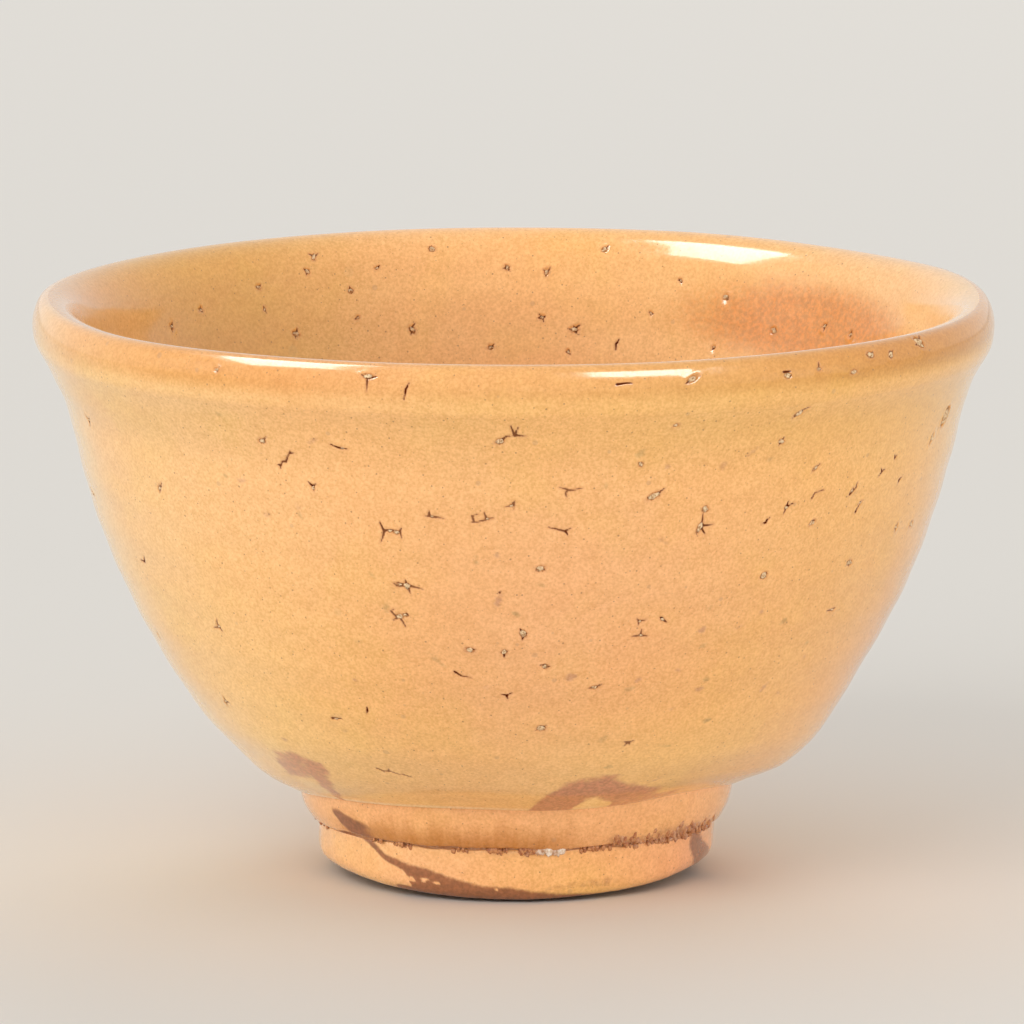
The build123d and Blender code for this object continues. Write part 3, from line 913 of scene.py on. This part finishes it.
def collar_colour(obj):
    mesh, bearing, run, height = begin(obj, collar_path)
    above = height - by_bearing(bearing, EDGE_LINE)
    drips = 1 + 0.35 * ragged(bearing * 3, 44, 1.0)
    streaks = 0.85 + 0.15 * ragged(bearing * 7, 45, 1.0)
    near_edge = (1 - smooth(above, 0.35, 3.1 * drips)) * streaks
    left = smooth(bearing, -62, -50) * (1 - smooth(bearing, 4, 26))
    line = np.interp(bearing, *zip(*COLLAR_LINE))
    brown = (1 - smooth(np.abs(height - line), 0.6, 1.35)) * smooth(bearing, -60, -57.5)
    brown = brown * (1 - smooth(bearing, -50, -38)) * (1 - smooth(height, 9.4, 10.4))
    dark = np.maximum(near_edge * (0.16 + 1.05 * left), brown)
    paint_tint(mesh, tinted((1, (0.9, 0.475, 0.205)), (dark, (-0.32, -0.235, -0.145))))
    rim = 0.75 * (1 - smooth(above, 0.0, 0.5)) * smooth(bearing, -60, -50) * (1 - smooth(bearing, -10, 15))
    rust = (1 - smooth(above, 0.5, 1.9 * drips)) * np.interp(bearing, *RUST_RUNS)
    paint(mesh, "stain", np.maximum(np.maximum(brown, rim), rust))


# Brown streak on the foot: height of its upper and lower edges by bearing
STREAK_TOP = [
    (-56, 7.6), (-50, 7.4), (-45.3, 7.0), (-41, 5.7), (-34, 4.8), (-26, 4.25), (-17.5, 3.1), (-10, 2.4),
    (-1, 2.3), (5, 1.7), (11, 1.4), (18, 1.1), (27, 0.7), (32, -0.5), (60, -2),
]
STREAK_BOTTOM = [
    (-56, 7.2), (-50, 6.9), (-46.6, 6.3), (-41, 4.65), (-34.2, 3.5), (-32.3, 2.6), (-31.5, 0), (-20, -2),
    (60, -2),
]
# Bare chips in the streak: (bearing, height, half width in degrees)
CHIPS = [(-31.8, 2.5, 2.6), (-27.0, 2.6, 1.6), (-23.4, 2.3, 1.2), (-5.2, 1.75, 0.7)]


def skirt_colour(obj):
    mesh, bearing, run, height = begin(obj, skirt_path)
    height = height + foot_drop(bearing, skirt_path.at(run)[0], height)
    top = np.interp(bearing, *zip(*STREAK_TOP)) + ragged(bearing, 83, 0.12)
    bottom = np.interp(bearing, *zip(*STREAK_BOTTOM)) + ragged(bearing, 84, 0.12)
    streak = smooth(top - height, -0.40, 0.60) * smooth(height - bottom, -0.3, 0.4)
    foot_line = smooth(bearing, -39, -36.5) * (1 - smooth(bearing, -33, -28))
    streak = np.maximum(streak, smooth(1.7 - height, -0.2, 0.4) * foot_line)
    uneven = 0.25 * waves(bearing * 20, height * 40, 85, 9, 40)
    for centre, middle, half_wide in CHIPS:
        reach = np.hypot(around(bearing, centre) / half_wide, (height - middle) / 0.30) + uneven
        streak = streak * smooth(reach, 0.4, 1.2)
    wander = 0.30 * waves(bearing * 3, height * 8, 86, 9, 40)
    patch = 1 - np.hypot((around(bearing, 72) + 1.6 * (height - 3)) / 8.5, (height - 3.6) / 3.8) + wander
    back_patch = 1 - np.hypot((around(bearing, 168) - 5 * height) / 26, (height - 1.5) / 3.0) + wander
    past = around(bearing, 21)
    smudge = 1 - np.hypot(past / 11, (height - 2.2 - 0.03 * past) / 0.55) + 1.6 * wander
    blots = np.maximum(smooth(patch, -0.25, 0.4), smooth(back_patch, -0.25, 0.4))
    paint(mesh, "stain", np.maximum(streak, np.maximum(blots, 0.40 * smooth(smudge, -0.1, 0.6))))
    cloud = waves(bearing, height, 82, 8, 20)
    low = 1 - smooth(height, 0.5, 2.6)
    right = smooth(bearing, -30, 20)
    tint = tinted(
        (1, (0.9, 0.5, 0.225)),
        (cloud, (0, 0.02, -0.01)),
        (low, (-0.05, 0.015, -0.02)),
        (right, (0, -0.035, -0.035)),
    )
    paint_tint(mesh, tint)


outside_colour(outer_skin)
inside_colour(inner_skin)
collar_colour(collar_skin)
skirt_colour(skirt_skin)
unite(outer_skin, inner_skin)

# ---- small solids: stones and beads


def ball_mesh(detail):
    bm = bmesh.new()
    bmesh.ops.create_icosphere(bm, subdivisions=detail, radius=1)
    points = np.array([v.co for v in bm.verts])
    faces = [[v.index for v in f.verts] for f in bm.faces]
    bm.free()
    return points, faces


def gathered(name, lumps):
    """One mesh from many (points in mm, faces)."""
    points, faces = [], []
    for lump_points, lump_faces in lumps:
        first = len(points)
        points += [tuple(p) for p in np.asarray(lump_points) * MM]
        faces += [[first + i for i in f] for f in lump_faces]
    mesh = bpy.data.meshes.new(name)
    mesh.from_pydata(points, [], faces)
    mesh.polygons.foreach_set("use_smooth", [True] * len(mesh.polygons))
    return add(name, mesh)


def roughened(points, amount, scale, seed):
    shifted = [noise.noise(Vector(p) * scale + Vector((seed * 3.1, seed * 1.7, seed))) for p in points]
    return points * (1 + amount * np.array(shifted))[:, None]


def placed(points, path, relief, bearing, run, sink):
    """Local points (right, up, out in mm) set on a wall, following its unevenness."""
    radius = float(path.at(run)[0])
    here = bearing + np.degrees(points[:, 0] / max(radius, 4))
    far = np.full(len(points), FAR)
    lift = relief(here, run - points[:, 1], far, far) + points[:, 2] - sink
    r, z = path.at(run - points[:, 1], lift)
    return np.stack(warp(here, r, z), 1)


def stones(name, path, relief, bursts):
    ball, faces = ball_mesh(2)
    lumps = []
    for index, (bearing, height, strokes, grains) in enumerate(bursts):
        run = float(path.run_at_height(height - float(rise(bearing, height))))
        for number, (gx, gy, half_long, half_wide, tilt) in enumerate(grains):
            shape = roughened(ball, 0.85, 1.9, index + 9 * number)
            c, s = math.cos(math.radians(tilt)), math.sin(math.radians(tilt))
            u, v = shape[:, 0] * half_long * 0.85, shape[:, 1] * half_wide * 0.85
            local = np.stack([gx + u * c - v * s, gy + u * s + v * c, shape[:, 2] * min(0.3, half_wide)], 1)
            lumps.append((placed(local, path, relief, bearing, run, 0.14), faces))
    return gathered(name, lumps)


outer_grit = stones("stones_outside", outer_path, outer_relief, outer_bursts)
inner_grit = stones("stones_inside", inner_path, inner_relief, inner_bursts)

# Heights over the crawl band, then the radius of the surface there
BAND_SURFACE = ([6.0, 6.8, 7.0, 7.3, 8.0, 9.1], [25.78, 25.85, 26.1, 26.42, 26.95, 27.6])

# Beads: (first bearing, last bearing, how many, size, height over the edge line, paleness)
BEAD_RUNS = [
    (-46, -41, 6, 0.24, -0.05, 0.1), (-37, -31, 7, 0.28, -0.05, 0.15), (-18.5, -13, 7, 0.3, -0.05, 0.1),
    (-8, -2, 9, 0.32, -0.05, 0.15), (1.5, 6.5, 9, 0.4, 0.0, 0.3), (6.5, 14, 14, 0.5, 0.05, 1.0),
    (19, 26.5, 10, 0.3, 0.0, 0.1), (28, 40, 34, 0.34, 0.45, 0.3), (41, 53, 36, 0.36, 0.55, 0.36),
    (53, 74, 60, 0.36, 0.55, 0.28), (84, 200, 90, 0.32, 0.1, 0.5), (205, 290, 60, 0.3, 0.1, 0.3),
]


def beads():
    chance = random.Random(77)
    ball, faces = ball_mesh(2)
    lumps, paleness = [], []
    for first, last, count, size, over, pale in BEAD_RUNS:
        for i in range(count):
            bearing = first + (last - first) * (i + chance.uniform(0.1, 0.9)) / count
            spread = 0.25 + over
            height = float(by_bearing(bearing, EDGE_LINE)) + over + chance.uniform(-spread, spread)
            radius = size * chance.uniform(0.6, 1.25)
            shape = roughened(ball, 0.35, 1.3, i + 5 * first)
            stretch = np.array([chance.uniform(0.7, 1.1), 0.75, chance.uniform(0.8, 1.5)])
            side, out, up = (shape * stretch * radius).T
            surface = np.interp(height, *BAND_SURFACE)
            here = bearing + np.degrees(side / surface)
            lumps.append((np.stack(warp(here, surface + out - 0.05, height + up), 1), faces))
            paleness += [pale * chance.uniform(0.35, 1.0)] * len(shape)
    obj = gathered("glaze_beads", lumps)
    paint(obj.data, "pale", paleness)
    return obj


bead_cluster = beads()

# ---- materials


class Look:
    """A node material, with short names for the few kinds of node used here."""

    def __init__(self, name):
        self.material = bpy.data.materials.new(name)
        self.material.use_nodes = True
        self.tree = self.material.node_tree
        self.shader = self.tree.nodes["Principled BSDF"]
        scaled = self.node("VectorMath")
        scaled.operation = "SCALE"
        scaled.inputs["Scale"].default_value = 1 / MM
        self.tree.links.new(self.node("TexCoord").outputs["Object"], scaled.inputs[0])
        self.place = scaled.outputs[0]

    def node(self, kind, *values, **named):
        """A new node, with numbers, colours or other nodes' outputs for its inputs."""
        node = self.tree.nodes.new("ShaderNode" + kind)
        for socket, value in zip(node.inputs, values):
            self.plug(socket, value)
        for name, value in named.items():
            self.plug(node.inputs[name.replace("_", " ")], value)
        return node

    def plug(self, socket, value):
        if isinstance(value, bpy.types.NodeSocket):
            self.tree.links.new(value, socket)
        elif isinstance(value, tuple):
            socket.default_value = (*value, 1)
        else:
            socket.default_value = value

    def math(self, operation, a, b):
        node = self.node("Math", a, b)
        node.operation = operation
        return node.outputs[0]

    def times(self, a, b):
        return self.math("MULTIPLY", a, b)

    def ease(self, value, low, high, start=0.0, end=1.0):
        node = self.node("MapRange", Value=value, From_Min=low, From_Max=high, To_Min=start, To_Max=end)
        node.interpolation_type = "SMOOTHSTEP"
        return node.outputs["Result"]

    def mix(self, share, a, b, blend="MIX"):
        node = self.node("Mix")
        node.data_type = "RGBA"
        node.blend_type = blend
        for number, value in ((0, share), (6, a), (7, b)):
            self.plug(node.inputs[number], value)
        return node.outputs[2]

    def value(self, name, output="Fac"):
        """What the mesh has painted under a name."""
        node = self.node("Attribute")
        node.attribute_name = name
        return node.outputs[output]

    def cloud(self, per_mm, detail=2.0, roughness=0.5, shift=0.0):
        node = self.node("TexNoise")
        node.noise_dimensions = "4D"
        settings = {"W": shift, "Scale": per_mm, "Detail": detail, "Roughness": roughness}
        for name, value in settings.items():
            node.inputs[name].default_value = value
        self.plug(node.inputs["Vector"], self.place)
        return node.outputs["Fac"]

    def specks(self, per_mm, radius, share):
        """Dots of a radius in mm, in a share of cells; 1 inside a dot."""
        cell = self.node("TexVoronoi", Vector=self.place, Scale=per_mm)
        split = self.node("SeparateColor", cell.outputs["Color"])
        chosen = self.math("LESS_THAN", split.outputs[0], share)
        past = self.math("SUBTRACT", cell.outputs["Distance"], self.times(split.outputs[1], radius * per_mm))
        return self.times(chosen, self.ease(past, 0.0, radius * per_mm * 0.5, 1.0, 0.0))

    def bump(self, height, distance_mm, strength):
        node = self.node("Bump", Height=height, Distance=distance_mm * MM, Strength=strength)
        self.tree.links.new(node.outputs["Normal"], self.shader.inputs["Normal"])

    def set(self, **values):
        for name, value in values.items():
            self.plug(self.shader.inputs[name.replace("_", " ")], value)


CRACK_COLOUR = (0.10, 0.015, 0.003)
GRAIN_EDGE = (0.30, 0.115, 0.038)
HALO_COLOUR = (0.62, 0.27, 0.11)
GLOSS = 0.16  # roughness of the glaze, before its slow variation


def glaze_look(name, stain_colour, stain_depth, raggedness=0.95):
    look = Look(name)
    base = look.value("tint", "Color")
    broad = look.ease(look.cloud(0.055, 3.0, 0.55, 1.0), 0.30, 0.70)
    yellow = look.ease(look.cloud(0.11, 2.0, 0.5, 4.0), 0.48, 0.72)
    for patch, share, shade in ((broad, 0.30, (1.02, 0.90, 0.76)), (yellow, 0.35, (0.97, 1.04, 0.86))):
        base = look.mix(look.times(patch, share), base, look.mix(1.0, base, shade, "MULTIPLY"))
    fine = look.cloud(2.6, 3.0, 0.65, 7.0)
    medium = look.cloud(0.55, 3.0, 0.6, 9.0)
    mottle = [
        (look.ease(fine, 0.33, 0.67), (0.89, 0.84, 0.76), (1.05, 1.07, 1.12)),
        (look.ease(medium, 0.30, 0.72), (0.95, 0.93, 0.89), (1.02, 1.02, 1.03)),
    ]
    for share, dark, light in mottle:
        base = look.mix(1.0, base, look.mix(share, dark, light), "MULTIPLY")

    pin = look.specks(1.3, 0.11, 0.45)
    dots = [
        (look.specks(2.1, 0.075, 0.55), 0.34, (0.30, 0.13, 0.045)),
        (pin, 0.58, (0.26, 0.12, 0.05)),
        (look.specks(0.42, 0.34, 0.17), 0.30, (0.42, 0.24, 0.13)),
        (look.specks(0.13, 0.75, 0.10), 0.16, (0.50, 0.36, 0.16)),
    ]
    for dot, share, colour in dots:
        base = look.mix(look.times(dot, share), base, colour)

    painted = look.value("stain")
    rag = look.times(look.math("SUBTRACT", look.cloud(0.9, 4.0, 0.65, 2.0), 0.5), raggedness)
    stain = look.times(look.ease(look.math("ADD", painted, rag), 0.16, 0.92), look.ease(painted, 0.0, 0.12))
    flecks = look.ease(look.cloud(1.7, 3.0, 0.6, 3.0), 0.35, 0.68)
    flecked = look.mix(flecks, stain_colour, tuple(c * 1.55 for c in stain_colour))
    base = look.mix(look.times(stain, stain_depth), base, flecked)

    wobble = look.math("SUBTRACT", look.cloud(3.4, 2.0, 0.6, 5.0), 0.5)
    crack = look.math("ADD", look.value("crack"), look.times(wobble, 0.16))
    grain = look.math("ADD", look.value("grain"), look.times(wobble, 0.55))
    halo = look.ease(look.math("MINIMUM", crack, grain), 0.0, 0.34, 0.50, 0.0)
    base = look.mix(halo, base, HALO_COLOUR)
    inside = look.ease(grain, -0.03, 0.08, 1.0, 0.0)
    patchy = look.ease(look.cloud(1.1, 3.0, 0.6, 13.0), 0.40, 0.60, 0.25, 0.90)
    base = look.mix(look.times(inside, patchy), base, GRAIN_EDGE)
    depth = look.ease(look.cloud(0.10, 1.0, 0.5, 12.0), 0.38, 0.58, 0.72, 1.0)
    open_crack = look.times(look.ease(crack, 0.0, 0.11, 1.0, 0.0), depth)
    base = look.mix(open_crack, base, CRACK_COLOUR)

    sheen = look.ease(look.cloud(1.3, 2.0, 0.5, 6.0), 0.3, 0.7, GLOSS - 0.03, GLOSS + 0.07)
    rough = look.math("MAXIMUM", sheen, look.times(open_crack, 0.75))
    peel = look.math("ADD", look.times(look.cloud(0.8, 2.0, 0.5, 8.0), 0.6), look.times(fine, 0.12))
    look.bump(look.math("SUBTRACT", peel, look.times(pin, 0.25)), 0.035, 0.55)
    look.set(Base_Color=base, Roughness=rough, IOR=1.5, Coat_Roughness=0.06, Coat_IOR=1.5)
    broken = look.math("MAXIMUM", open_crack, inside)
    look.set(Specular_IOR_Level=look.math("SUBTRACT", 0.5, look.times(broken, 0.5)))
    look.set(Coat_Weight=look.math("SUBTRACT", 0.55, look.times(broken, 0.55)))
    return look.material


def clay_look():
    look = Look("bare_clay")
    coarse = look.ease(look.cloud(0.35, 4.0, 0.6), 0.3, 0.7)
    fine = look.cloud(2.2, 4.0, 0.7, 2.0)
    recess = look.mix(coarse, (0.36, 0.20, 0.11), (0.52, 0.33, 0.20))
    rusty = look.mix(coarse, (0.30, 0.10, 0.035), (0.50, 0.22, 0.09))
    split = look.node("SeparateXYZ", look.place)
    base = look.mix(look.ease(split.outputs["Z"], 5.0, 6.2), recess, rusty)
    base = look.mix(look.ease(fine, 0.35, 0.75, 0.0, 0.5), base, (0.62, 0.45, 0.31))
    grit = look.specks(0.8, 0.22, 0.25)
    base = look.mix(look.times(grit, 0.7), base, (0.72, 0.62, 0.50))
    base = look.mix(look.times(look.specks(0.9, 0.14, 0.3), 0.8), base, (0.10, 0.05, 0.03))
    look.bump(look.math("ADD", fine, look.times(grit, 0.6)), 0.16, 0.8)
    look.set(Base_Color=base, Roughness=0.86)
    return look.material


def stone_look():
    look = Look("burst_stone")
    fine = look.cloud(2.8, 3.0, 0.7)
    base = look.mix(look.ease(fine, 0.34, 0.60), (0.34, 0.15, 0.05), (0.82, 0.62, 0.38))
    look.bump(fine, 0.08, 0.7)
    look.set(Base_Color=base, Roughness=0.6, Specular_IOR_Level=0.2)
    return look.material


def bead_look():
    look = Look("glaze_bead")
    pale = look.value("pale")
    fine = look.cloud(1.9, 2.0, 0.6)
    rust = look.mix(look.ease(fine, 0.3, 0.7), (0.33, 0.10, 0.035), (0.60, 0.27, 0.10))
    milk = look.mix(look.ease(fine, 0.35, 0.65), (0.66, 0.46, 0.30), (0.93, 0.88, 0.79))
    base = look.mix(look.ease(pale, 0.15, 0.85), rust, milk)
    look.set(Base_Color=base, Roughness=0.18, Coat_Weight=0.7, Coat_Roughness=0.05)
    return look.material


MAUVE = (0.42, 0.165, 0.085)
RUSSET = (0.50, 0.170, 0.022)
BROWN = (0.21, 0.070, 0.028)
RUST = (0.20, 0.066, 0.024)

clay = clay_look()
stone = stone_look()
# Piece, material, the CAD node it stands for, and its material slot
finishes = [
    (outer_skin, glaze_look("glaze_outside", MAUVE, 0.88), "outer_glaze", "glaze"),
    (inner_skin, glaze_look("glaze_inside", RUSSET, 0.86, 0.40), "inner_glaze", "inner_glaze"),
    (collar_skin, glaze_look("glaze_collar", RUST, 0.95), "collar_glaze", "foot_glaze"),
    (skirt_skin, glaze_look("glaze_foot", BROWN, 0.92), "foot_glaze", "foot_glaze"),
    (clay_cup, clay, "cup", "clay"),
    (foot_clay, clay, "foot_ring", "clay"),
    (bead_cluster, bead_look(), "crawl_beads", "bead_glaze"),
    (outer_grit, stone, "outer_stones", "stone"),
    (inner_grit, stone, "inner_stones", "stone"),
]
for obj, material, node, slot in finishes:
    obj.data.materials.append(material)
    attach(obj, "root")
    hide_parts(node)

# ---- floor, light and camera


def floor():
    mesh = bpy.data.meshes.new("floor")
    half = 40.0
    corners = [(-half, -half, 0), (half, -half, 0), (half, half, 0), (-half, half, 0)]
    mesh.from_pydata(corners, [], [(0, 1, 2, 3)])
    obj = add("floor", mesh)
    obj.location.z = -0.00005  # clear of the foot, so that the two faces don't flicker
    look = Look("pale_floor")
    look.set(Base_Color=(0.84, 0.825, 0.80), Roughness=0.8, Specular_IOR_Level=0.0)
    mesh.materials.append(look.material)
    return obj


def softbox(name, place, width, depth, watts, colour=(1, 1, 1)):
    """A soft rectangular lamp that faces the middle of the bowl."""
    data = bpy.data.lights.new(name, "AREA")
    data.shape = "RECTANGLE"
    data.size = width
    data.size_y = depth
    data.energy = watts
    data.color = colour
    obj = add(name, data)
    obj.location = place
    obj.rotation_euler = (Vector(middle) - Vector(place)).to_track_quat("-Z", "Y").to_euler()
    obj.visible_camera = False
    return obj


def towards(azimuth, elevation, distance):
    """A place seen from the bowl at an azimuth from the front (positive to the right) and an elevation."""
    turn, lift = math.radians(azimuth), math.radians(elevation)
    flat = distance * math.cos(lift)
    return (flat * math.sin(turn), -flat * math.cos(turn), middle[2] + distance * math.sin(lift))


middle = (0, 0, HEIGHT * MM / 2)
ground = floor()
key = softbox("key", towards(-30, 34, 2.0), 1.3, 1.0, 9.2, (1.0, 0.98, 0.95))
low_fill = softbox("low_fill", towards(10, 3, 2.0), 1.5, 0.28, 9.6, (1.0, 0.98, 0.96))
left_fill = softbox("left_fill", towards(-82, 18, 2.0), 0.9, 0.7, 15.5)
right_fill = softbox("right_fill", towards(72, 9, 2.0), 0.9, 0.5, 9)
back_fill = softbox("back_fill", towards(165, 40, 2.2), 1.4, 0.9, 7)
for lamp in (key, low_fill, left_fill, right_fill, back_fill):
    lamp.visible_glossy = False
# The low lamps light the bowl only, so that the floor keeps one even tone
bowl_only = bpy.data.collections.new("lit_by_the_low_lamps")
for finish in finishes:
    bowl_only.objects.link(finish[0])
for lamp in (low_fill, left_fill, right_fill):
    lamp.light_linking.receiver_collection = bowl_only


def glint(name, start, end, width, watts):
    """A window seen only in the gloss, stretched between two directions from the bowl."""
    start, end = Vector(start).normalized(), Vector(end).normalized()
    outward = (start + end).normalized()
    distance = 1.2
    length = 2 * distance * math.tan(start.angle(end) / 2)
    lamp = softbox(name, Vector(middle) + outward * distance, width, length, watts)
    upward = (end - start - outward * outward.dot(end - start)).normalized()
    across = upward.cross(outward)
    lamp.rotation_euler = Matrix((across, upward, outward)).transposed().to_euler()
    lamp.visible_diffuse = False
    return lamp


glint("window_left", (-0.684, -0.386, 0.617), (-0.37, 0.244, 0.896), 0.44, 14)
window_right = glint("window_right", (0.472, -0.716, 0.512), (0.412, -0.499, 0.761), 0.50, 7)
lip_only = bpy.data.collections.new("seen_from_the_right_window")
lip_only.objects.link(outer_skin)
window_right.light_linking.receiver_collection = lip_only

world = bpy.data.worlds.new("studio")
bpy.context.scene.world = world
world.use_nodes = True
sky = world.node_tree.nodes["Background"]
sky.inputs["Color"].default_value = (1.0, 0.975, 0.93, 1)
# The room is a little brighter where the glaze mirrors it
ray = world.node_tree.nodes.new("ShaderNodeLightPath")
strength = world.node_tree.nodes.new("ShaderNodeMapRange")
strength.inputs["To Min"].default_value = 0.67
strength.inputs["To Max"].default_value = 0.86
world.node_tree.links.new(ray.outputs["Is Glossy Ray"], strength.inputs["Value"])
world.node_tree.links.new(strength.outputs["Result"], sky.inputs["Strength"])

CAMERA_DISTANCE = 1.500
CAMERA_HEIGHT = 0.28857
AIM = Vector((-0.00033, 0, 0.0474))
lens = bpy.data.cameras.new("camera")
lens.sensor_width = 36
lens.lens = 406.6
lens.clip_end = 100
camera = add("camera", lens)
camera.location = (0, -CAMERA_DISTANCE, CAMERA_HEIGHT)
camera.rotation_euler = (AIM - camera.location).to_track_quat("-Z", "Y").to_euler()
bpy.context.scene.camera = camera
bpy.context.scene.view_settings.view_transform = "Standard"
